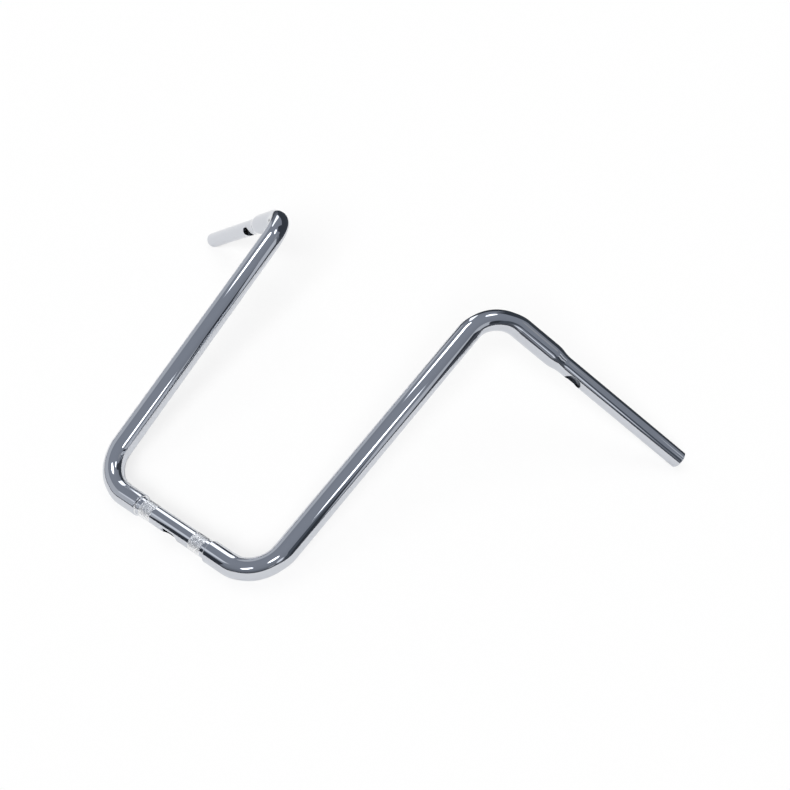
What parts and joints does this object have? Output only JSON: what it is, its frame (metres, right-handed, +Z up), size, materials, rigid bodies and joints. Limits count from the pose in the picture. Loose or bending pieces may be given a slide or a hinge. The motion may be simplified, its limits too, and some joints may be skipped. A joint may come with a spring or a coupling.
{
  "type": "motorcycle handlebar",
  "caption": "Tall chromed ape-hanger handlebar with a knurled straight clamp tube, bent uprights and pulled-back control ends.",
  "frame": {"origin": "middle of the clamp tube's axis", "axes": "+X along the clamp tube to the rider's left, +Y back along the floor the way the uprights lean, +Z up, with the bar lying at rest on its lower bends and both bar ends"},
  "size_m": [0.9284, 0.5487, 0.2043],
  "materials": {
    "polished_chrome": "mirror-polished chrome plate on steel tube",
    "weld_chrome": "chrome plate over a dressed weld"
  },
  "bodies": {
    "root": {"clamp_tube": "polished_chrome", "left_upright_tube": "polished_chrome", "right_upright_tube": "polished_chrome", "left_seam_weld": "weld_chrome", "right_seam_weld": "weld_chrome", "left_upper_rosette_weld": "weld_chrome", "left_lower_rosette_weld": "weld_chrome", "right_upper_rosette_weld": "weld_chrome", "right_lower_rosette_weld": "weld_chrome"}
  },
  "joints": []
}
